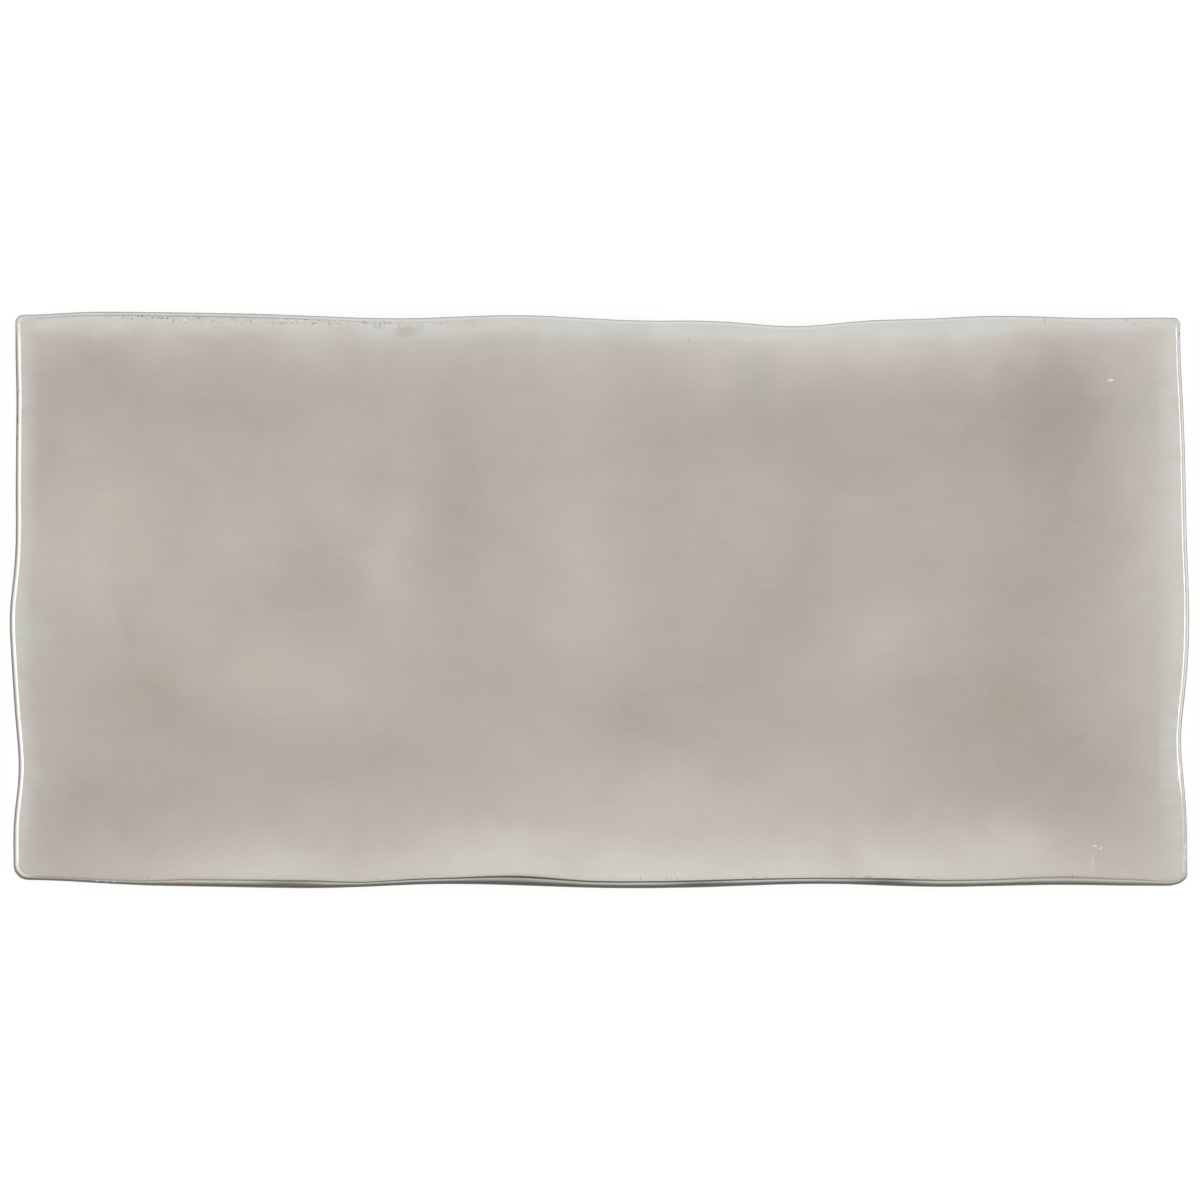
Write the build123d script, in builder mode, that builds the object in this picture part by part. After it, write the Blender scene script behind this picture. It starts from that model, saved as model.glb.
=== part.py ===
"""A glazed ceramic wall tile with a hand-pressed look: one fired slab, in millimetres.

It lies on its back, glazed face up. X runs along its length and Y across its width.
The origin is the middle of the back, so Z is the height above the bed that it is set on.
"""

import os
from math import exp, radians, tan

from build123d import *

# Overall size: length and width reach to the outermost points of the uneven edges, at the back
tile_length = 152.0
tile_width = 74.3
tile_thickness = 8.8  # from the back to the face, apart from its hollows and swells

# Sides, edges and corners
side_draft = 1.5  # degrees that the sides lean in towards the face, so that the mould lets go
arris_radius = 0.75  # where the glaze rolls over from the face to the sides
back_bevel = 0.5  # broken edge round the back
north_west_radius = 0.95
north_east_radius = 0.85
south_west_radius = 1.9
south_east_run = 2.6  # this corner is worn, and runs out further along the south edge
south_east_rise = 1.5

# Uneven edges, as points of (share of the way along, inset from the overall size).
# North and south run from west to east, west and east run from south to north.
north_edge = [
    (0.00, 0.36),
    (0.055, 0.06),
    (0.12, 0.02),
    (0.22, 0.28),
    (0.345, 0.80),
    (0.427, 0.40),
    (0.54, 1.12),
    (0.60, 1.18),
    (0.667, 1.84),
    (0.725, 1.12),
    (0.775, 0.88),
    (0.83, 0.50),
    (0.91, 0.78),
    (1.00, 0.72),
]
south_edge = [
    (0.00, 1.05),
    (0.09, 0.52),
    (0.19, 0.15),
    (0.275, 0.04),
    (0.365, 0.52),
    (0.42, 0.42),
    (0.50, 0.02),
    (0.60, 0.20),
    (0.70, 0.52),
    (0.785, 0.16),
    (0.87, 0.40),
    (1.00, 0.30),
]
west_edge = [
    (0.00, 0.52),
    (0.11, 0.52),
    (0.20, 1.16),
    (0.29, 0.77),
    (0.40, 0.22),
    (0.475, 0.02),
    (0.56, 0.62),
    (0.68, 0.77),
    (0.86, 0.86),
    (1.00, 0.74),
]
east_edge = [
    (0.00, 0.26),
    (0.16, 0.52),
    (0.255, 1.06),
    (0.35, 0.46),
    (0.49, 0.00),
    (0.60, 0.30),
    (0.72, 0.48),
    (0.86, 0.88),
    (1.00, 1.16),
]

# Uneven face: it sinks towards the edges, and is left with the hollows and swells of the press.
# Each wave is (share of the half length, share of the half width, reach in X, reach in Y, height).
cushion_drop = 0.45
cushion_reach = 9.0
face_waves = [
    (-0.26, 0.32, 7.0, 16.0, -0.30),
    (0.76, 0.60, 12.0, 11.0, -0.42),
    (0.66, -0.46, 15.0, 11.0, -0.40),
    (0.08, -0.30, 9.0, 10.0, -0.32),
    (0.30, 0.10, 13.0, 10.0, -0.16),
    (-0.62, 0.66, 17.0, 8.0, -0.22),
    (-0.50, 0.08, 9.0, 8.0, -0.24),
    (-0.82, -0.72, 10.0, 9.0, -0.26),
    (-0.44, -0.55, 14.0, 7.0, -0.20),
    (-0.02, 0.20, 6.0, 14.0, 0.16),
    (-0.38, 0.10, 5.0, 11.0, 0.14),
    (0.50, -0.08, 8.0, 7.0, 0.14),
    (-0.84, 0.14, 7.0, 12.0, 0.14),
]
face_step = 3.0  # spacing of the points that the face is drawn through

# Keys: shallow grooves along the back that the adhesive grips
key_depth = 0.7
key_width = 4.0
key_pitch = 10.0
key_margin = 8.0  # least plain border left round the back
key_draft = 20.0  # degrees that a groove's walls lean


def draw_outline(height):
    """The uneven outline at a height above the back: four wavy edges and four round corners."""
    lean = height * tan(radians(side_draft))
    west = -tile_length / 2 + lean
    east = tile_length / 2 - lean
    south = -tile_width / 2 + lean
    north = tile_width / 2 - lean

    def across(share):
        return (share - 0.5) * tile_length

    def up(share):
        return (share - 0.5) * tile_width

    north_west = Vector(west + west_edge[-1][1], north - north_edge[0][1])
    north_east = Vector(east - east_edge[-1][1], north - north_edge[-1][1])
    south_east = Vector(east - east_edge[0][1], south + south_edge[-1][1])
    south_west = Vector(west + west_edge[0][1], south + south_edge[0][1])

    with BuildSketch(Plane.XY.offset(height)) as outline:
        with BuildLine():
            top = Spline(
                north_west + (north_west_radius, 0),
                *[(across(share), north - inset) for share, inset in north_edge[1:-1]],
                north_east - (north_east_radius, 0),
                tangents=((1, 0), (1, 0)),
            )
            right = Spline(
                south_east + (0, south_east_rise),
                *[(east - inset, up(share)) for share, inset in east_edge[1:-1]],
                north_east - (0, north_east_radius),
                tangents=((0, 1), (0, 1)),
            )
            bottom = Spline(
                south_west + (south_west_radius, 0),
                *[(across(share), south + inset) for share, inset in south_edge[1:-1]],
                south_east - (south_east_run, 0),
                tangents=((1, 0), (1, 0)),
            )
            left = Spline(
                south_west + (0, south_west_radius),
                *[(west + inset, up(share)) for share, inset in west_edge[1:-1]],
                north_west - (0, north_west_radius),
                tangents=((0, 1), (0, 1)),
            )
            TangentArc(top @ 1, right @ 1, tangent=(1, 0))
            EllipticalCenterArc(
                south_east + (-south_east_run, south_east_rise),
                south_east_run,
                south_east_rise,
                start_angle=270,
                arc_size=90,
            )
            TangentArc(left @ 0, bottom @ 0, tangent=(0, -1))
            TangentArc(left @ 1, top @ 0, tangent=(0, 1))
        make_face()
    return outline.sketch


def face_height(x, y):
    """Height of the glazed face above the back."""
    height = tile_thickness
    for half_size, place in ((tile_length / 2, abs(x)), (tile_width / 2, abs(y))):
        nearness = 1 - (half_size - place) / cushion_reach
        height -= cushion_drop * max(0, nearness) ** 2
    for share_x, share_y, reach_x, reach_y, swell in face_waves:
        away_x = (x - share_x * tile_length / 2) / reach_x
        away_y = (y - share_y * tile_width / 2) / reach_y
        height += swell * exp(-(away_x**2) - away_y**2)
    return height


def draw_face():
    """The uneven face as one smooth sheet that reaches a little past the edges."""
    across_steps = round(tile_length / face_step / 2) + 1
    up_steps = round(tile_width / face_step / 2) + 1
    return Face.make_surface_from_array_of_points(
        [
            [
                Vector(x * face_step, y * face_step, face_height(x * face_step, y * face_step))
                for y in range(-up_steps, up_steps + 1)
            ]
            for x in range(-across_steps, across_steps + 1)
        ]
    )


with BuildPart() as wall_tile:
    # A drafted blank with uneven edges, cut off by the uneven face
    blank_height = 2 * tile_thickness
    loft(sections=[draw_outline(0), draw_outline(blank_height)], ruled=True)
    split(bisect_by=draw_face(), keep=Keep.BOTTOM)

    # The glaze rolls over the arris, no rounder than the tightest corner lets it,
    # and the edge of the back is broken
    south_east_radius = south_east_rise**2 / south_east_run  # at the tight end of its ellipse
    tightest_corner = min(north_west_radius, north_east_radius, south_west_radius, south_east_radius)
    fillet(wall_tile.faces().sort_by(Axis.Z)[-1].edges(), min(arris_radius, 0.9 * tightest_corner))
    chamfer(wall_tile.faces().sort_by(Axis.Z)[0].edges(), back_bevel)

    # Round-ended key grooves along the back
    key_count = int((tile_width - 2 * key_margin - key_width) / key_pitch) + 1
    with BuildSketch(Plane.XY):
        with GridLocations(0, key_pitch, 1, key_count):
            SlotOverall(tile_length - 2 * key_margin, key_width)
    extrude(amount=key_depth, taper=key_draft, mode=Mode.SUBTRACT)

os.makedirs("parts", exist_ok=True)
wall_tile.part.label = "wall_tile"
export_step(wall_tile.part, "parts/wall_tile.step")
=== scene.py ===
"""Looks of a glazed ceramic wall tile: a hand-pressed slab with wavy edges, lying on its back.

A warm grey gloss glaze covers the face, thins white along the short edges under painted highlights,
rolls over along the south edge under painted shade, partly glaze pooled dark in its crease, and runs
part of the way down the sides. Below its lower edge, and on the keyed back,
the white clay body is bare.
Sizes are in millimetres until they reach a mesh, a light or the camera, which are in metres.
X runs along the tile to the east, Y across it to the north and Z up from the back, as in the frame.
"""

import math

import bmesh
import bpy
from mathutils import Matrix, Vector, noise
from mathutils.bvhtree import BVHTree


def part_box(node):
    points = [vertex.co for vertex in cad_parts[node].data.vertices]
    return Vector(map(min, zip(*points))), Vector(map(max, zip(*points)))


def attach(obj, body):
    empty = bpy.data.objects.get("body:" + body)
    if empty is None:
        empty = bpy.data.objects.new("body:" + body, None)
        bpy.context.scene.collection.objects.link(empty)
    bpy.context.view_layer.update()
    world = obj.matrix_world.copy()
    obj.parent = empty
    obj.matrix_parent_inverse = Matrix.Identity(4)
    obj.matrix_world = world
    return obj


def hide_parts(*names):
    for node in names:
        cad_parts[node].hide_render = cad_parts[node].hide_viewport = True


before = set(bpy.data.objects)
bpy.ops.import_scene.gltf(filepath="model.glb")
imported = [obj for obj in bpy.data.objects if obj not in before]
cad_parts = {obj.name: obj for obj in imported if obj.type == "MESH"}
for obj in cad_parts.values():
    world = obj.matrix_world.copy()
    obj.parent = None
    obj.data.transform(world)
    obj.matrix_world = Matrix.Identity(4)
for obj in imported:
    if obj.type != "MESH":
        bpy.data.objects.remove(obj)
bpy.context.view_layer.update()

MM = 0.001
NODE = "wall_tile"
CLAY_SLOT = 1  # the tile's second material, after the glaze

# Sockets of a colour Mix node, whose names it shares with its other kinds of value
UNDER = 6
OVER = 7
MIXED = 2

# Mesh layout
cell = 0.5  # spacing of the face's grid
border = 4.2  # width of the band inside the edges whose rings follow the uneven outline
flare_rings = 6  # rings between the arris and the plain grid
side_top = 6.0  # a height on the sides that lies below every arris
cad_arris = 0.9  # the solid's own rounding ends within this distance of its side

# Arris from the side inwards, as (inset from the side, drop below the face).
# Round most of the tile it is steep at first, then a lip that leans about 27 degrees,
# and an easy rise to the face.
lip_profile = [
    (0.00, 0.96),
    (0.03, 0.76),
    (0.08, 0.59),
    (0.14, 0.47),
    (0.20, 0.39),
    (0.27, 0.33),
    (0.35, 0.285),
    (0.43, 0.245),
    (0.50, 0.21),
    (0.56, 0.18),
    (0.61, 0.16),
    (0.66, 0.145),
    (0.72, 0.13),
    (0.82, 0.105),
    (1.00, 0.07),
    (1.25, 0.03),
    (1.55, 0.00),
]
# Along the south edge the glaze has rolled over further: a fall, then a bead with a crease behind
# it. The insets are for a roll that is as wide as the crease's own inset.
roll_profile = [
    (0.00, 2.30),
    (0.05, 1.50),
    (0.10, 1.05),
    (0.15, 0.78),
    (0.20, 0.60),
    (0.25, 0.48),
    (0.30, 0.40),
    (0.36, 0.345),
    (0.42, 0.315),
    (0.48, 0.30),
    (0.54, 0.295),
    (0.60, 0.305),
    (0.66, 0.315),
    (0.71, 0.27),
    (0.84, 0.17),
    (1.10, 0.08),
    (1.55, 0.00),
]
roll_crease = 0.66
# Width of the roll along the south edge, from the side to the crease, as (x, width)
roll_width = [
    (-69, 0.26),
    (-60, 0.36),
    (-52, 0.70),
    (-38, 0.74),
    (-30, 0.42),
    (-21, 0.55),
    (-10, 0.92),
    (0, 0.62),
    (13, 0.62),
    (30, 0.54),
    (38, 0.68),
    (50, 0.63),
    (60, 0.80),
    (68, 0.62),
    (75, 0.26),
]
# The lip of the east edge is slimmer than its profile, as (y, share of the profile's width)
east_lip = [(-28, 0.3), (-21, 0.5), (32, 0.4), (35, 0.2)]

# Sides: glaze with a bead along its lower edge, then bare clay to the broken edge of the back
glaze_line = 3.0
side_hollow = 0.06  # how far the glaze between arris and bead lies inside the solid's side
glaze_skin = 0.14  # how far the clay lies inside it
back_break = 0.5
above_break = 1.1 * back_break  # a height just above the broken edge
bead_profile = [(0.12, 0.01), (0.10, 0.05), (0.05, glaze_skin)]  # as (fall, inset)
break_profile = [(0.15, 0.15), (0.0, back_break)]  # as (height, further inset)

# Key grooves in the back
key_depth = 0.7
key_width = 4.0
key_pitch = 10.0
key_count = 6
key_margin = 8.0
key_draft = math.radians(20)

# Small dents and bumps that the press left in the face, as (x, y, reach in x, reach in y, depth)
dents = [
    (-60.6, -1.6, 1.3, 1.3, 0.07),
    (-61.8, -5.6, 1.8, 1.8, 0.06),
    (-39.8, 23.6, 1.6, 1.6, 0.05),
    (-30.0, 15.4, 2.2, 2.2, 0.06),
    (33.6, 11.6, 1.5, 1.5, -0.05),
    (15.3, 13.6, 1.4, 1.4, -0.04),
]
dent_floor = 0.05  # keeps what stands proud below the solid's own face

# Unevenness, as ripples of (width, amount, seed)
face_ripples = [(11.0, 0.030, 11.0), (4.5, 0.012, 4.5)]  # of the glaze on the face
line_ripples = [(14.0, 0.90, 3.0), (4.0, 0.45, 8.0)]  # of its lower edge
run_ripples = [(3.0, 1.0, 9.0)]  # of what ran down the sides, as a share of their hollow
patch_ripples_x = [(9.0, 2.2, 1.0), (3.0, 0.9, 2.0)]  # of the soft patches' edges
patch_ripples_y = [(9.0, 2.2, 3.0), (3.0, 0.9, 5.0)]
frost_ripples = [(9.0, 1.0, 6.0), (2.5, 0.6, 7.0)]  # of the frost's width, as a share of its wander

# Soft patches of the glaze, as (x, y, reach in x, reach in y, amount).
# An amount of shade is in steps of lightness, of which there are 255 from black to white.
plain_shade = 175
pool_shade = 170  # at the bead on the sides
shade_patches = [
    # Dark, where glaze pooled towards the east end
    (59, 24, 9, 11, -12),
    (46, 22, 12, 8, -6),
    (60, 10, 5, 6, -5),
    (55, 1, 8, 8, -8),
    (54, -13, 9, 7, -11),
    (62, -23, 7, 7, -9),
    (51, -22, 8, 5, -5),
    (43, -14, 6, 6, -5),
    # Dark, across the middle
    (-18, 13, 4, 15, -7),
    (4, -14, 6, 7, -7),
    (16, -11, 8, 6, -6),
    (23, -1, 7, 6, -7),
    (27, 7, 4, 5, -5),
    (24, 22, 10, 6, -7),
    (30, 16, 7, 4, -4),
    (9, 22, 6, 6, -3),
    # Dark, in the west
    (-48, 24, 8, 4, -6),
    (-64, 29, 8, 5, -6),
    (-71, 20, 3, 9, -4),
    (-38, 2, 7, 5, -5),
    (-29, 15.5, 3.6, 2, -5),
    (-57, -13, 7, 6, -8),
    (-50, -18, 7, 4, -4),
    (-66, -26, 6, 6, -6),
    (-54, -25, 9, 4, -5),
    (-38, -21, 9, 4, -4),
    (-27, -20, 5, 3.5, -4),
    (-61, -4.5, 1.4, 4, -4),
    (-24.5, 34.6, 1.6, 0.7, -12),
    # Pale, where glaze ran thin
    (-65, 7, 8, 10, 9),
    (-46, 8, 8, 7, 6),
    (-54, -3, 3, 3, 4),
    (-27, 5, 4, 9, 9),
    (-34, 14, 4, 6, 5),
    (-2, 5, 5, 12, 6),
    (-1, -6, 4, 4, 4),
    (-3, 29, 4, 6, 4),
    (36, -5, 6, 4.5, 7),
    (22, 15, 5, 3, 4),
    (15.3, 13.6, 1.6, 1.4, 3),
    (33.8, 11.6, 1.6, 1.3, 4),
    (-44, -9, 10, 5, 6),
    (-34, -12, 7, 5, 4),
    (27, -24, 9, 4, 4),
    (-1, -25, 12, 5, 6),
    (13, -26, 9, 4, 6),
    (50, -32, 9, 4, 8),
    # Pale, along the edges
    (15, -39, 54, 8, 36),
    (-18, -33, 14, 4, 8),
    (36, -35, 8, 3, 4),
    (67, 23, 3.5, 5, 5),
    (-46, -36, 12, 5, 14),
    (28, 38.5, 44, 7, 39),
    (0, 37, 24, 4, 5),
    (-62, 39, 15, 6, 28),
    (26, 31, 11, 4, 4),
    (-34, 37, 14, 4.5, 18),
    (79, 12, 9, 40, 26),
    (-78, 4, 4.5, 50, 22),
]
# An amount of tint is a share of the full tint
rose_patches = [
    (-52, 10, 18, 14, 1.0),
    (-32, 12, 10, 12, 0.9),
    (-42, -10, 18, 7, 0.8),
    (-66, -16, 6, 10, 0.8),
    (-71, 20, 3, 9, 0.6),
    (-62, -26, 12, 6, 0.2),
    (-66, 3, 5, 5, -0.8),
    (-38, 2, 5, 5, -0.8),
    (-62.5, -29.6, 0.6, 1.6, 1.5),
    (1, 14, 4, 6, 0.7),
    (36, 15, 4, 4, 0.6),
    (58, 22, 4, 6, 0.3),
    (15, -10, 6, 3, 0.4),
    (52, -14, 6, 6, 0.4),
    (3, -24, 6, 2, 0.6),
]
mauve_patches = [
    (-15, -11, 11, 8, 1.0),
    (-12, 14, 4.5, 10, 0.6),
    (9, 6, 5, 11, 1.0),
    (9, 20, 6, 6, 0.5),
    (38, 6, 7, 7, 1.0),
    (20, 14, 8, 4, 0.5),
    (28, -16, 9, 4, 0.9),
    (12, -18, 6, 3, 0.8),
    (-36, 3, 6, 6, 0.7),
    (-60, 23, 5, 5, 0.6),
    (-60, 31, 12, 5, 0.5),
    (-64, -27, 9, 6, 0.5),
    (58, 24, 8, 8, 0.4),
    (-30, -21, 12, 5, 0.6),
    (42, -25, 9, 4, 0.6),
    (37, 28, 7, 2.5, 0.6),
    (66, 6, 3, 14, 0.5),
]
sage_patches = [
    (8, -36, 20, 4, 0.1),
    (45, -36, 18, 4, 0.1),
    (-30, -37, 20, 3.5, 0.2),
    (5, 36, 42, 4, 0.35),
    (75, -5, 4, 26, 0.6),
    (-76.5, -6, 3, 34, 1.2),
    (20, 28, 4, 3, 0.25),
    (69, 25, 3, 6, 0.25),
]

# Painted highlights and painted shade along the arris, partly glaze that thins white and pools dark,
# as (place along the edge, inset, reach along the edge, reach in inset, amount), with 1 for a white
# painted highlight and -1 for dark painted shade. Insets are as in the profiles of the arris.
arris_highlights_and_shade = {
    "north": [
        (-48, 0.00, 34, 0.08, -0.40),
        (10, 0.18, 90, 0.20, 0.60),
        (-54, 0.48, 24, 0.07, -0.65),
    ],
    "south": [
        (0, 0.00, 120, 0.37, -0.95),
        (-68, 0.00, 9, 0.37, 0.45),
        (71, 0.00, 9, 0.37, 0.30),
        (0, 0.51, 90, 0.07, 0.20),
        (-11, 0.45, 9, 0.25, -0.30),
        (13, 0.42, 4, 0.20, -0.50),
        (37, 0.42, 4, 0.22, -0.60),
        (-40, 0.42, 4, 0.20, -0.50),
        (4, 0.68, 62, 0.10, -1.30),
    ],
    "east": [
        (0, 0.00, 90, 0.10, -0.35),
        (5, 0.36, 34, 0.14, 1.25),
        (10, 0.95, 24, 0.12, -0.40),
    ],
    "west": [
        (0, 0.08, 90, 0.15, -0.70),
        (0, 0.46, 90, 0.13, 1.25),
    ],
}
# Frost inside the edges, as (width, strength, share of the width that wanders)
edge_frost = {
    "north": (3.8, 0.95, 0.45),
    "south": (1.0, 0.0, 0.0),
    "east": (5.0, 0.60, 0.3),
    "west": (3.2, 0.55, 0.2),
}
# Crumbs of glaze that stuck along the north edge, as (x, inset, reach in x, reach in inset, amount)
crumbs = [(-40, 0.85, 20, 0.45, 1.0), (-57, 0.7, 4, 0.3, 0.6)]
crumb_wear = 0.4  # share of the frost that is gone where they stuck

# Small marks in the glaze, as (x, y, half length, half width, degrees from the X axis, strength)
mark_floor = 7.4  # they don't run further down the sides than this height
white_marks = [
    (65.8, 28.2, 0.40, 0.13, 8, 0.9),
    (63.7, -31.7, 0.28, 0.12, -10, 0.6),
    (64.5, -32.0, 0.18, 0.12, 40, 0.6),
    (63.4, -33.9, 0.95, 0.08, 88, 0.35),
    (75.4, -31.8, 0.35, 0.12, 90, 0.8),
    (75.4, -33.2, 0.25, 0.12, 90, 0.8),
    (74.6, -22.2, 1.20, 0.17, 80, 0.8),
    (-40.9, 36.1, 0.25, 0.09, 5, 0.5),
    # By the north-east corner, and where the south edge frays
    (74.7, 33.4, 0.35, 0.14, 85, 0.9),
    (-64.6, -36.2, 0.25, 0.10, 0, 0.7),
    (-63.4, -36.3, 0.20, 0.10, 0, 0.6),
    (-62.4, -36.3, 0.25, 0.10, 0, 0.6),
]
dark_marks = [
    (-58.8, 36.45, 0.13, 0.12, 0, 0.9),
    (-60.1, 36.1, 0.17, 0.08, -15, 0.7),
    (-55.6, 36.2, 0.12, 0.11, 0, 0.7),
    (-47.2, 36.2, 0.26, 0.08, -10, 0.5),
    (-28.9, 35.3, 0.55, 0.06, 90, 0.35),
    (-28.2, 35.2, 0.60, 0.06, 91, 0.30),
    (57.3, 35.9, 0.40, 0.06, 89, 0.45),
    (60.8, -35.75, 0.45, 0.06, 84, 0.50),
    (68.8, 35.4, 0.26, 0.07, 5, 0.45),
    (67.9, 35.9, 0.20, 0.06, 90, 0.40),
    (11.6, 33.4, 0.35, 0.07, 95, 0.30),
    (11.4, 34.7, 0.18, 0.06, 0, 0.40),
    (-58.0, -35.8, 0.22, 0.08, 5, 0.40),
    (-6.0, -27.4, 0.35, 0.05, 20, 0.20),
    (-74.6, 26.8, 0.25, 0.08, 90, 0.30),
    (-74.85, 26.2, 0.30, 0.10, 90, 0.50),
    (-74.85, 23.2, 0.55, 0.10, 90, 0.60),
    (-74.85, 20.8, 0.30, 0.10, 90, 0.50),
    (74.6, 34.2, 0.16, 0.10, 90, 0.60),
    (-24.6, 34.5, 1.50, 0.60, 0, 0.14),
    # Specks behind the crease of the south roll
    (-42.1, -36.1, 0.35, 0.08, 10, 0.35),
    (-28.5, -36.0, 0.16, 0.08, 0, 0.40),
    (-6.1, -35.9, 0.16, 0.08, 0, 0.40),
    (5.3, -35.9, 0.11, 0.09, 0, 0.70),
    (8.6, -35.9, 0.10, 0.08, 0, 0.50),
    (9.2, -35.9, 0.08, 0.08, 0, 0.60),
    (10.0, -35.9, 0.09, 0.09, 0, 0.60),
    (19.8, -35.8, 0.30, 0.08, 8, 0.35),
    (21.6, -35.8, 0.22, 0.08, -5, 0.35),
    (32.6, -35.7, 0.40, 0.10, 5, 0.30),
    (34.6, -35.7, 0.55, 0.13, 0, 0.40),
    (41.0, -35.7, 0.20, 0.09, 20, 0.40),
]


def linear(hex_code):
    """An sRGB hex colour as linear RGBA."""
    channels = [int(hex_code[at:at + 2], 16) / 255 for at in (0, 2, 4)]
    return [c / 12.92 if c <= 0.04045 else ((c + 0.055) / 1.055) ** 2.4 for c in channels] + [1.0]


def add_node(tree, kind, inputs, out=0, **settings):
    """Adds a node with its settings, sets or links its inputs, and gives back one of its outputs."""
    node = tree.nodes.new(kind)
    for name, value in settings.items():
        setattr(node, name, value)
    for socket, value in inputs.items():
        if isinstance(value, bpy.types.NodeSocket):
            tree.links.new(value, node.inputs[socket])
        else:
            node.inputs[socket].default_value = value
    return node.outputs[out]


def spread(patches, x, y):
    """The sum of soft patches at a place."""
    return sum(
        amount * math.exp(-(((x - at_x) / reach_x) ** 2) - ((y - at_y) / reach_y) ** 2)
        for at_x, at_y, reach_x, reach_y, amount in patches
    )


def uneven(ripples, x, y):
    """The sum of ripples at a place: smooth noise with bumps about as wide as each one's width."""
    return sum(
        amount * noise.noise(Vector((x / width, y / width, seed))) for width, amount, seed in ripples
    )


def ease(start, end, value):
    """Goes smoothly from 0 at the start to 1 at the end."""
    share = min(max((value - start) / (end - start), 0.0), 1.0)
    return share * share * (3 - 2 * share)


def along_edge(stops, place):
    """The value at a place on an edge, eased between stops of (place, value)."""
    value = stops[0][1]
    for (start, first), (end, last) in zip(stops, stops[1:]):
        if place > start:
            value = first + (last - first) * ease(start, end, place)
    return value


def arris_scale(side, place):
    """How wide the arris of a side is at a place, beside its profile."""
    if side == "south":
        return along_edge(roll_width, place.x) / roll_crease
    if side == "east":
        return along_edge(east_lip, place.y)
    return 1.0


def side_shares(way):
    """How much a level direction points to each side; the shares add up to 1."""
    return {
        "north": max(0.0, way.y) ** 2,
        "south": max(0.0, -way.y) ** 2,
        "east": max(0.0, way.x) ** 2,
        "west": max(0.0, -way.x) ** 2,
    }


class Solid:
    """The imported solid, measured by rays, in millimetres."""

    def __init__(self, name):
        self.tree = BVHTree.FromObject(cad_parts[name], bpy.context.evaluated_depsgraph_get())
        low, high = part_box(name)
        self.low = Vector(low) / MM
        self.high = Vector(high) / MM

    def reach(self, core, way, height):
        """How far the side lies from a point inside, along a level direction."""
        start = Vector((core.x, core.y, height)) * MM
        return self.tree.ray_cast(start, way)[3] / MM

    def face(self, place):
        """Height of the face over a place."""
        clear_above = 1.0
        start = Vector((place.x, place.y, self.high.z + clear_above)) * MM
        return self.tree.ray_cast(start, Vector((0, 0, -1)))[0].z / MM


def arris_profile(place, way):
    """The arris at a place on the edge, between the lip and the south roll, as (inset, drop)."""
    shares = side_shares(way)
    roll = shares["south"]
    lip_scale = sum(share * arris_scale(side, place) for side, share in shares.items() if side != "south")
    roll_scale = roll * arris_scale("south", place)
    return [
        (lip_inset * lip_scale + roll_inset * roll_scale, lip_drop * (1 - roll) + roll_drop * roll)
        for (lip_inset, lip_drop), (roll_inset, roll_drop) in zip(lip_profile, roll_profile)
    ]


def lay_out_face(bm, solid):
    """The face and its arris: a grid whose outer rings follow the solid's uneven outline.

    Each ring vertex keeps the point that it fans out from (core), the direction that it lies in
    (outward) and its distance from the side (rim).
    """
    arris_rings = len(lip_profile) - 1
    rings = arris_rings + flare_rings
    core_low = solid.low + Vector((border, border, 0))
    core_size = solid.high - solid.low - Vector((2 * border, 2 * border, 0))
    columns = round(core_size.x / cell)
    rows = round(core_size.y / cell)
    across = columns + 2 * rings
    up = rows + 2 * rings
    half_grid = 0.5  # it starts as a unit square, in which places count columns and rows
    bmesh.ops.create_grid(bm, x_segments=across, y_segments=up, size=half_grid)
    core_layer = bm.verts.layers.float_vector.new("core")
    outward_layer = bm.verts.layers.float_vector.new("outward")
    rim_layer = bm.verts.layers.float.new("rim")
    drops = {}
    for vert in bm.verts:
        i = round((vert.co.x + half_grid) * across)
        j = round((vert.co.y + half_grid) * up)
        core_i = min(max(i, rings), across - rings)
        core_j = min(max(j, rings), up - rings)
        core = core_low + Vector(
            ((core_i - rings) * core_size.x / columns, (core_j - rings) * core_size.y / rows, 0)
        )
        out = max(abs(i - core_i), abs(j - core_j))
        place = core.copy()
        seat = core.copy()
        inset = border
        drop = 0.0
        if out:
            way = Vector((i - core_i, j - core_j, 0)).normalized()
            reach = solid.reach(core, way, side_top)
            profile = arris_profile(core, way)
            arris_width = profile[-1][0]
            inwards = rings - out
            if inwards < arris_rings:
                inset, drop = profile[inwards]
            else:
                inset = arris_width + (reach - arris_width) * (inwards - arris_rings) / flare_rings
            place = core + way * (reach - inset)
            seat = core + way * (reach - max(inset, arris_width, cad_arris))
            vert[outward_layer] = way
        vert[core_layer] = core
        vert[rim_layer] = inset
        drops[vert] = drop
        vert.co = Vector((place.x, place.y, solid.face(seat)))
    smoothing_passes = 40
    for _ in range(smoothing_passes):
        bmesh.ops.smooth_vert(bm, verts=bm.verts, factor=0.5, use_axis_z=True)
    for vert in bm.verts:
        vert.co.z -= drops[vert] + hand_marks(vert.co.x, vert.co.y)


def hand_marks(x, y):
    """Depth of the small dents and ripples that the press and the glaze left in the face."""
    return dent_floor + spread(dents, x, y) + uneven(face_ripples, x, y)


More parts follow.
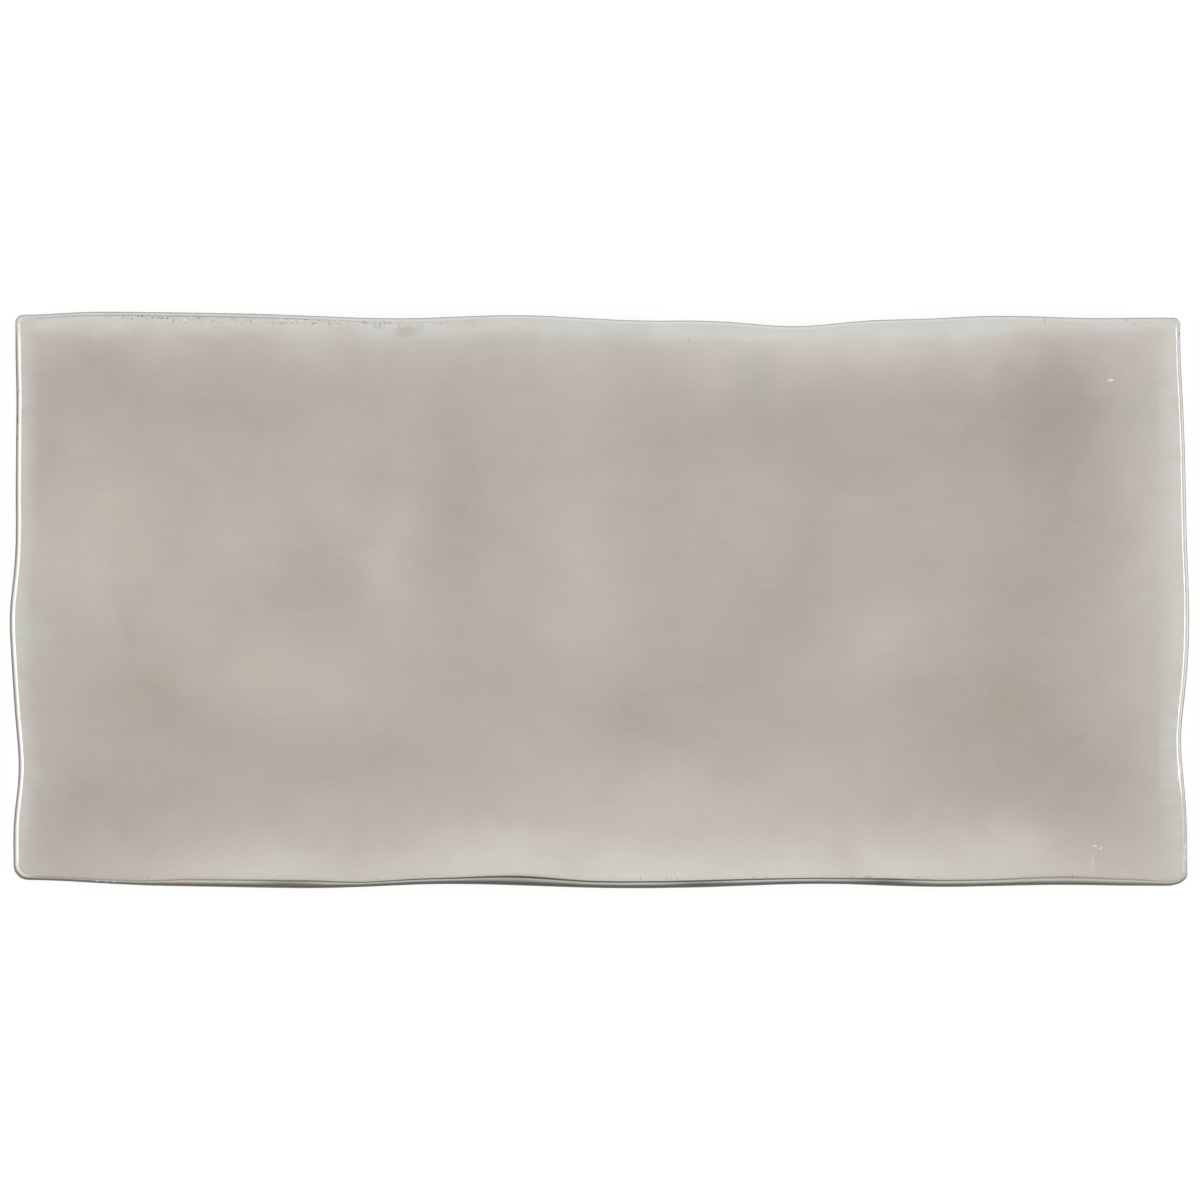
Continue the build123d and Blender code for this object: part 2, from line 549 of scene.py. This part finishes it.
def paint_face(bm):
    """The glaze's finish, kept as attributes.

    They are its shade, its tints (rose, mauve, sage), the painted highlights and painted shade along
    its arris, the frost inside its edges and the crumbs that stuck to it.
    """
    shade_layer = bm.verts.layers.float.new("shade")
    tint_layer = bm.verts.layers.float_vector.new("tint")
    arris_light_layer = bm.verts.layers.float.new("arris_light")
    frost_layer = bm.verts.layers.float.new("frost")
    crumb_layer = bm.verts.layers.float.new("crumb")
    outward_layer = bm.verts.layers.float_vector["outward"]
    rim_layer = bm.verts.layers.float["rim"]
    for vert in bm.verts:
        x = vert.co.x
        y = vert.co.y
        # Uneven edges make the patches blotchy
        shifted_x = x + uneven(patch_ripples_x, x, y)
        shifted_y = y + uneven(patch_ripples_y, x, y)
        vert[shade_layer] = plain_shade + spread(shade_patches, shifted_x, shifted_y)
        vert[tint_layer] = Vector(
            [spread(tint, shifted_x, shifted_y) for tint in (rose_patches, mauve_patches, sage_patches)]
        )
        inset = vert[rim_layer]
        for side, share in side_shares(vert[outward_layer]).items():
            along = x if side in ("north", "south") else y
            # Painted highlights and painted shade along the arris
            line_inset = inset / arris_scale(side, vert.co)
            vert[arris_light_layer] += share * spread(arris_highlights_and_shade[side], along, line_inset)
            width, strength, wander = edge_frost[side]
            width *= 1 + wander * uneven(frost_ripples, x, y)
            vert[frost_layer] += share * strength * ease(width, 0.0, inset)
            if side == "north":
                vert[crumb_layer] = share * spread(crumbs, along, inset)
        vert[frost_layer] *= 1 - crumb_wear * vert[crumb_layer]


def extrude_rim(bm, rim, move):
    """One more ring of faces below the rim, with its vertices put where move says."""
    made = bmesh.ops.extrude_edge_only(bm, edges=rim)["geom"]
    for item in made:
        if isinstance(item, bmesh.types.BMVert):
            move(item)
    faces = [item for item in made if isinstance(item, bmesh.types.BMFace)]
    edges = [item for item in made if isinstance(item, bmesh.types.BMEdge) and item.is_boundary]
    return edges, faces


def line_height(place):
    """Height of the glaze's lower edge at a place on the sides."""
    return glaze_line + uneven(line_ripples, place.x, place.y)


def drop_sides(bm, solid):
    """The sides: glaze down to an uneven bead, then bare clay to the broken edge of the back."""
    core_layer = bm.verts.layers.float_vector["core"]
    outward_layer = bm.verts.layers.float_vector["outward"]
    shade_layer = bm.verts.layers.float["shade"]
    arris_light_layer = bm.verts.layers.float["arris_light"]
    frost_layer = bm.verts.layers.float["frost"]
    tint_layer = bm.verts.layers.float_vector["tint"]
    fade = 0.5  # share of what runs over the arris that each row of the glaze keeps
    rim = [edge for edge in bm.edges if edge.is_boundary]

    def put(vert, height, inset):
        core = vert[core_layer]
        way = vert[outward_layer]
        reach = solid.reach(core, way, max(height, above_break))
        vert.co = core + way * (reach - inset)
        vert.co.z = height

    glaze_rows = 9
    for row in range(glaze_rows):
        rows_left = glaze_rows - row
        hollow = side_hollow * math.sin(math.pi * (row + 1) / glaze_rows)

        def down_to_bead(vert):
            place = vert[core_layer] + vert[outward_layer] * border
            runs = 1 + uneven(run_ripples, place.x, place.y)
            put(vert, vert.co.z + (line_height(place) - vert.co.z) / rows_left, hollow * runs)
            # The painted highlights and painted shade of the arris fade down the glaze
            vert[arris_light_layer] *= fade
            vert[frost_layer] *= fade
            vert[tint_layer] *= fade
            vert[shade_layer] += (pool_shade - vert[shade_layer]) * fade

        rim, _ = extrude_rim(bm, rim, down_to_bead)
    for fall, inset in bead_profile:
        rim, _ = extrude_rim(bm, rim, lambda vert: put(vert, vert.co.z - fall, inset))
    clay_rows = 4
    for row in range(clay_rows):
        rows_left = clay_rows - row

        def down_to_break(vert):
            put(vert, vert.co.z + (back_break - vert.co.z) / rows_left, glaze_skin)

        rim, faces = extrude_rim(bm, rim, down_to_break)
        for face in faces:
            face.material_index = CLAY_SLOT
    for height, inset in break_profile:
        rim, faces = extrude_rim(bm, rim, lambda vert: put(vert, height, glaze_skin + inset))
        for face in faces:
            face.material_index = CLAY_SLOT
    return rim


def close_back(bm, solid, rim):
    """The back: a flat with round-ended key grooves."""
    straight = (solid.high.x - solid.low.x) / 2 - key_margin - key_width / 2
    segments = 24
    half_step = 0.5  # turns each ring so that no vertex lies on the groove's cross line
    grooves = []
    for row in range(key_count):
        loop = bmesh.ops.create_circle(bm, segments=segments, radius=key_width / 2)["verts"]
        middle = (row - (key_count - 1) / 2) * key_pitch
        for at, vert in enumerate(loop):
            turn = 2 * math.pi * (at + half_step) / segments
            vert.co = Vector((math.cos(turn), math.sin(turn), 0)) * key_width / 2
            vert.co += Vector((math.copysign(straight, math.cos(turn)), middle, 0))
        ring = list(dict.fromkeys(edge for vert in loop for edge in vert.link_edges))
        grooves.append((middle, ring))
    edges = rim + [edge for middle, ring in grooves for edge in ring]
    made = bmesh.ops.triangle_fill(bm, edges=edges, use_beauty=True, normal=(0, 0, -1))["geom"]
    back = [item for item in made if isinstance(item, bmesh.types.BMFace)]
    narrowing = key_depth * math.tan(key_draft)
    for middle, ring in grooves:
        made = bmesh.ops.extrude_edge_only(bm, edges=ring)["geom"]
        for item in made:
            if isinstance(item, bmesh.types.BMVert):
                end = Vector((math.copysign(straight, item.co.x), middle, 0))
                item.co = end + (item.co - end) * (1 - 2 * narrowing / key_width)
                item.co.z = key_depth
        roof = [item for item in made if isinstance(item, bmesh.types.BMEdge) and item.is_boundary]
        back += [item for item in made if isinstance(item, bmesh.types.BMFace)]
        back += bmesh.ops.contextual_create(bm, geom=roof)["faces"]
    for face in back:
        face.material_index = CLAY_SLOT


def order_faces(bm):
    """Lists the faces in the order of their vertices, because an extrude lists new ones in any order."""
    bm.verts.index_update()
    count = len(bm.verts)

    def rank(face):
        first, second, third = sorted(vert.index for vert in face.verts)[:3]
        return (first * count + second) * count + third

    bm.faces.sort(key=rank)


def make_tile():
    """The whole tile as one mesh."""
    solid = Solid(NODE)
    bm = bmesh.new()
    lay_out_face(bm, solid)
    paint_face(bm)
    rim = drop_sides(bm, solid)
    close_back(bm, solid, rim)
    for spent in ("core", "outward"):
        bm.verts.layers.float_vector.remove(bm.verts.layers.float_vector[spent])
    bm.verts.layers.float.remove(bm.verts.layers.float["rim"])
    bmesh.ops.recalc_face_normals(bm, faces=bm.faces)
    bmesh.ops.scale(bm, vec=(MM, MM, MM), verts=bm.verts)
    order_faces(bm)
    mesh = bpy.data.meshes.new("tile")
    bm.to_mesh(mesh)
    bm.free()
    mesh.shade_smooth()
    sharpest_smooth = math.radians(50)
    mesh.set_sharp_from_angle(angle=sharpest_smooth)
    tile = bpy.data.objects.new("tile", mesh)
    bpy.context.collection.objects.link(tile)
    mesh.materials.append(make_glaze())
    mesh.materials.append(make_clay())
    return tile


def add_marks(tree, place, marks):
    """A mask of small oval marks on the face and its arris."""
    past_tile = 1.0  # metres, so that only the height is limited
    limits = (past_tile, past_tile, mark_floor * MM)
    rim = 1.3  # share of its half sizes at which a mark starts to show
    core = 0.6  # and at which it is full
    level = add_node(tree, "ShaderNodeVectorMath", {0: place, 1: limits}, operation="MINIMUM")
    mask = 0.0
    for x, y, half_length, half_width, degrees, strength in marks:
        local = add_node(
            tree,
            "ShaderNodeMapping",
            {
                "Vector": level,
                "Location": (x * MM, y * MM, mark_floor * MM),
                "Rotation": (0.0, 0.0, math.radians(degrees)),
                "Scale": (half_length * MM, half_width * MM, half_width * MM),
            },
            vector_type="TEXTURE",
        )
        away = add_node(tree, "ShaderNodeVectorMath", {0: local}, out="Value", operation="LENGTH")
        mark = add_node(
            tree, "ShaderNodeMapRange", {"Value": away, "From Min": rim, "From Max": core, "To Max": strength}
        )
        mask = add_node(tree, "ShaderNodeMath", {0: mark, 1: mask}, operation="MAXIMUM")
    return mask


def make_glaze():
    """Gloss stoneware glaze, warm grey and a little cloudy, brushed on and fired.

    It gives the eye soft pools and thin spots, faint rose, mauve and sage blushes, a frosted pale
    border, painted highlights and painted shade along the lips, partly glaze that thins white and
    pools dark, and a clear wet shine.
    """
    material = bpy.data.materials.new("warm grey gloss glaze")
    material.use_nodes = True
    tree = material.node_tree
    shader = tree.nodes["Principled BSDF"]
    shader.inputs["IOR"].default_value = 1.5
    place = add_node(tree, "ShaderNodeTexCoord", {}, out="Object")
    shade, arris_light, frost, crumb = (
        add_node(tree, "ShaderNodeAttribute", {}, out="Fac", attribute_name=name)
        for name in ("shade", "arris_light", "frost", "crumb")
    )
    tints = add_node(tree, "ShaderNodeAttribute", {}, out="Vector", attribute_name="tint")

    # Patterns, as (width in millimetres, detail, stretch). The grain is drawn coarser than the real
    # pigment, which is too fine to show.
    round_spots = (1.0, 1.0, 1.0)
    along_tile = (0.06, 1.0, 1.0)
    patterns = {
        "mottle": (3.5, 4.0, round_spots),
        "streaks": (0.6, 3.0, along_tile),
        "grain": (0.3, 2.0, round_spots),
        "haze": (1.6, 4.0, (0.4, 1.0, 1.0)),
        "grit": (0.35, 1.0, (0.7, 1.0, 1.0)),
        "wetness": (6.0, 2.0, round_spots),
        "peel": (1.1, 2.0, round_spots),
    }
    clouds = {}
    for name, (width, detail, stretch) in patterns.items():
        stretched = add_node(tree, "ShaderNodeVectorMath", {0: place, 1: stretch}, operation="MULTIPLY")
        clouds[name] = add_node(
            tree,
            "ShaderNodeTexNoise",
            {"Vector": stretched, "Scale": 1 / (width * MM), "Detail": detail},
            out="Fac",
        )

    # Shade: the broad patches, made uneven by so many steps of lightness
    middle = 0.5  # of a noise
    for name, steps in (("mottle", 8.0), ("streaks", 4.0), ("grain", 9.0)):
        around_zero = add_node(tree, "ShaderNodeMath", {0: clouds[name], 1: middle}, operation="SUBTRACT")
        shade = add_node(
            tree, "ShaderNodeMath", {0: around_zero, 1: steps, 2: shade}, operation="MULTIPLY_ADD"
        )
    darkest = 150
    lightest = 215
    level = add_node(tree, "ShaderNodeMapRange", {"Value": shade, "From Min": darkest, "From Max": lightest})
    colour = add_node(tree, "ShaderNodeValToRGB", {"Fac": level}, out="Color")
    stops = colour.node.color_ramp.elements
    stops[0].color = linear("9F978D")
    stops[1].color = linear("D9D8D5")
    for lightness, tone in ((161, "A9A197"), (176, "B8B1A8"), (190, "C6BFB5"), (205, "D2CDC6")):
        stops.new((lightness - darkest) / (lightest - darkest)).color = linear(tone)

    # Frost with a hazy inner edge, and crumbs that are dark or pale, as
    # (where they lie, their pattern, its level where they start to show and where they are full)
    spots = []
    for where, pattern, start, full in (
        (frost, "haze", 0.10, 0.60),
        (crumb, "grit", 0.62, 0.70),
        (crumb, "grit", 0.38, 0.30),
    ):
        share = add_node(
            tree, "ShaderNodeMapRange", {"Value": clouds[pattern], "From Min": start, "From Max": full}
        )
        spots.append(add_node(tree, "ShaderNodeMath", {0: share, 1: where}, operation="MULTIPLY"))
    frost, pits, bits = spots

    # Painted shade along the arris below zero, painted highlight above it
    painted_shade_line, painted_highlight_line = (
        add_node(tree, "ShaderNodeMath", {0: arris_light, 1: sign}, operation="MULTIPLY", use_clamp=True)
        for sign in (-1.0, 1.0)
    )

    # Thin washes over the shade first, then what lies on it
    tint = add_node(tree, "ShaderNodeSeparateXYZ", {0: tints}).node.outputs
    layers = [
        (tint["X"], "FFFAFA", "MULTIPLY"),
        (tint["Y"], "FBFAFF", "MULTIPLY"),
        (tint["Z"], "F6FFFC", "MULTIPLY"),
        (frost, "D3D4D0", "MIX"),
        (pits, "8F8A84", "MIX"),
        (bits, "E6E4DE", "MIX"),
        # Painted shade and painted highlights along the arris
        (painted_shade_line, "5A544D", "MIX"),
        (painted_highlight_line, "F6F5F2", "MIX"),
        (add_marks(tree, place, dark_marks), "5F5A54", "MIX"),
        (add_marks(tree, place, white_marks), "F2F0EB", "MIX"),
    ]
    for share, tone, blend in layers:
        colour = add_node(
            tree,
            "ShaderNodeMix",
            {"Factor": share, UNDER: colour, OVER: linear(tone)},
            out=MIXED,
            data_type="RGBA",
            blend_type=blend,
        )
    tree.links.new(colour, shader.inputs["Base Color"])

    # Shine: wet in the pools, a little duller where it is frosted
    dullness = 0.07
    for pattern, added in ((clouds["wetness"], 0.05), (frost, 0.12)):
        dullness = add_node(
            tree, "ShaderNodeMath", {0: pattern, 1: added, 2: dullness}, operation="MULTIPLY_ADD"
        )
    tree.links.new(dullness, shader.inputs["Roughness"])
    peel_height = 0.02  # of its faint dimples
    peel = add_node(
        tree,
        "ShaderNodeBump",
        {"Height": clouds["peel"], "Strength": 0.25, "Distance": peel_height * MM},
        out="Normal",
    )
    tree.links.new(peel, shader.inputs["Normal"])
    return material


def make_clay():
    """Fired white clay, bare and matt: chalky, a little uneven, with fine grit and dark specks."""
    material = bpy.data.materials.new("bare white fired clay")
    material.use_nodes = True
    tree = material.node_tree
    shader = tree.nodes["Principled BSDF"]
    shader.inputs["Roughness"].default_value = 0.85
    place = add_node(tree, "ShaderNodeTexCoord", {}, out="Object")
    cloud_width = 9.0
    speck_spacing = 1.6
    speck_rim = 0.14  # share of the spacing at which a speck starts to show
    speck_core = 0.08  # and at which it is full
    grit_width = 0.35
    grit_height = 0.06
    clouds = add_node(
        tree, "ShaderNodeTexNoise", {"Vector": place, "Scale": 1 / (cloud_width * MM), "Detail": 5.0}
    )
    colour = add_node(tree, "ShaderNodeValToRGB", {"Fac": clouds}, out="Color")
    stops = colour.node.color_ramp.elements
    stops[0].position = 0.3
    stops[0].color = linear("CFC5B6")
    stops[1].position = 0.7
    stops[1].color = linear("DFD7CA")
    cells = add_node(
        tree, "ShaderNodeTexVoronoi", {"Vector": place, "Scale": 1 / (speck_spacing * MM)}, out="Distance"
    )
    specks = add_node(
        tree, "ShaderNodeMapRange", {"Value": cells, "From Min": speck_rim, "From Max": speck_core}
    )
    colour = add_node(
        tree,
        "ShaderNodeMix",
        {"Factor": specks, UNDER: colour, OVER: linear("A3947F")},
        out=MIXED,
        data_type="RGBA",
    )
    tree.links.new(colour, shader.inputs["Base Color"])
    grit = add_node(
        tree, "ShaderNodeTexNoise", {"Vector": place, "Scale": 1 / (grit_width * MM), "Detail": 3.0}
    )
    bump = add_node(
        tree, "ShaderNodeBump", {"Height": grit, "Strength": 0.6, "Distance": grit_height * MM}, out="Normal"
    )
    tree.links.new(bump, shader.inputs["Normal"])
    return material


def make_floor():
    """A white lit floor, which the tile's gloss doesn't mirror and which doesn't show from below.

    It lies a hair under the back, so that the two don't share a plane.
    """
    half_size = 3.0  # metres
    drop = 0.1
    bm = bmesh.new()
    bmesh.ops.create_grid(bm, x_segments=1, y_segments=1, size=half_size)
    bmesh.ops.translate(bm, vec=(0.0, 0.0, -drop * MM), verts=bm.verts)
    mesh = bpy.data.meshes.new("floor")
    bm.to_mesh(mesh)
    bm.free()
    floor = bpy.data.objects.new("floor", mesh)
    bpy.context.collection.objects.link(floor)
    material = bpy.data.materials.new("white floor")
    material.use_nodes = True
    tree = material.node_tree
    shader = tree.nodes["Principled BSDF"]
    shader.inputs["Base Color"].default_value = linear("7C7C7C")
    shader.inputs["Roughness"].default_value = 1.0
    shader.inputs["Specular IOR Level"].default_value = 0.0
    shader.inputs["Emission Color"].default_value = linear("FFFFFF")
    shader.inputs["Emission Strength"].default_value = 0.84
    below = add_node(tree, "ShaderNodeNewGeometry", {}, out="Backfacing")
    clear = add_node(tree, "ShaderNodeBsdfTransparent", {})
    surface = add_node(tree, "ShaderNodeMixShader", {0: below, 1: shader.outputs["BSDF"], 2: clear})
    tree.links.new(surface, tree.nodes["Material Output"].inputs["Surface"])
    mesh.materials.append(material)
    floor.visible_glossy = False
    floor.visible_diffuse = False
    floor.visible_shadow = False


def add_softbox(name, place, size, power):
    """A rectangular light that faces the tile."""
    light = bpy.data.lights.new(name, "AREA")
    light.shape = "RECTANGLE"
    light.size, light.size_y = size
    light.energy = power
    box = bpy.data.objects.new(name, light)
    box.location = place
    box.rotation_euler = (-Vector(place)).to_track_quat("-Z", "Y").to_euler()
    box.visible_camera = False
    bpy.context.collection.objects.link(box)
    return box


def light_stage():
    """Copy-stand light: a softbox at each end, one under the back, and a dim room with window panes."""
    world = bpy.data.worlds.new("studio")
    bpy.context.scene.world = world
    world.use_nodes = True
    tree = world.node_tree
    direction = add_node(tree, "ShaderNodeTexCoord", {}, out="Generated")
    axes = add_node(tree, "ShaderNodeSeparateXYZ", {"Vector": direction}).node.outputs

    # Heights are on a ball of radius 1 round the tile
    height = add_node(tree, "ShaderNodeMapRange", {"Value": axes["Z"], "From Min": -1.0, "From Max": 1.0})
    room = add_node(tree, "ShaderNodeValToRGB", {"Fac": height}, out="Color")
    stops = room.node.color_ramp.elements
    stops[0].color = linear("6C6C6C")
    stops[1].color = linear("909090")
    for level, tone in ((-0.65, "6C6C6C"), (-0.50, "B2B2B2"), (0.0, "B2B2B2"), (0.12, "909090")):
        stops.new((level + 1) / 2).color = linear(tone)

    # Panes all round, small enough for the waves of the glaze to show in their reflections
    pane_columns = 60
    pane_pitch = 0.10
    low = 0.12
    high = 0.62
    soft_edge = 0.02
    pane_edge = (-0.1, 0.6)  # levels of the sine waves where a pane starts to show and is full
    azimuth = add_node(tree, "ShaderNodeMath", {0: axes["Y"], 1: axes["X"]}, operation="ARCTAN2")
    columns = add_node(tree, "ShaderNodeMath", {0: azimuth, 1: pane_columns}, operation="MULTIPLY")
    rows = add_node(tree, "ShaderNodeMath", {0: axes["Z"], 1: 2 * math.pi / pane_pitch}, operation="MULTIPLY")
    across, up = (add_node(tree, "ShaderNodeMath", {0: turns}, operation="SINE") for turns in (columns, rows))
    panes = 2.2  # brightness
    for value, start, end in (
        (across, *pane_edge),
        (up, *pane_edge),
        (axes["Z"], low - soft_edge, low + soft_edge),
        (axes["Z"], high + soft_edge, high - soft_edge),
    ):
        inside = add_node(tree, "ShaderNodeMapRange", {"Value": value, "From Min": start, "From Max": end})
        panes = add_node(tree, "ShaderNodeMath", {0: inside, 1: panes}, operation="MULTIPLY")
    light = add_node(tree, "ShaderNodeMath", {0: panes, 1: room}, operation="ADD")
    tree.links.new(light, tree.nodes["Background"].inputs["Color"])

    # Softboxes, low and wide, stand this far out from the tile and above or below it
    out = 0.8
    above = 0.7
    below = 0.8
    softbox_size = (0.5, 0.16)
    softbox_power = 5.3
    for name, x in (("west softbox", -out), ("east softbox", out)):
        add_softbox(name, (x, 0.0, above), softbox_size, softbox_power)
    back_softbox = add_softbox("back softbox", (0.0, 0.0, -below), softbox_size, softbox_power)
    back_softbox.visible_glossy = False
    bpy.context.scene.view_settings.view_transform = "Standard"


def add_camera():
    """Looks straight down through a long lens, from a little towards the south edge."""
    distance = 6.0
    tilt = math.radians(1.2)
    low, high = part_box(NODE)
    frame_share = 1180 / 1200  # of the picture's width that the tile fills
    camera = bpy.data.cameras.new("camera")
    camera.sensor_width = 36.0
    camera.lens = camera.sensor_width * distance * frame_share / (high[0] - low[0])
    # The tile lies a hair west and south of the middle, as shares of the picture's width
    camera.shift_x = 0.0005
    camera.shift_y = 0.0006
    stand = bpy.data.objects.new("camera", camera)
    stand.location = (0.0, -distance * math.sin(tilt), distance * math.cos(tilt))
    stand.rotation_euler = (tilt, 0.0, 0.0)
    bpy.context.collection.objects.link(stand)
    bpy.context.scene.camera = stand


tile = make_tile()
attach(tile, "root")
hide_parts(NODE)
make_floor()
light_stage()
add_camera()
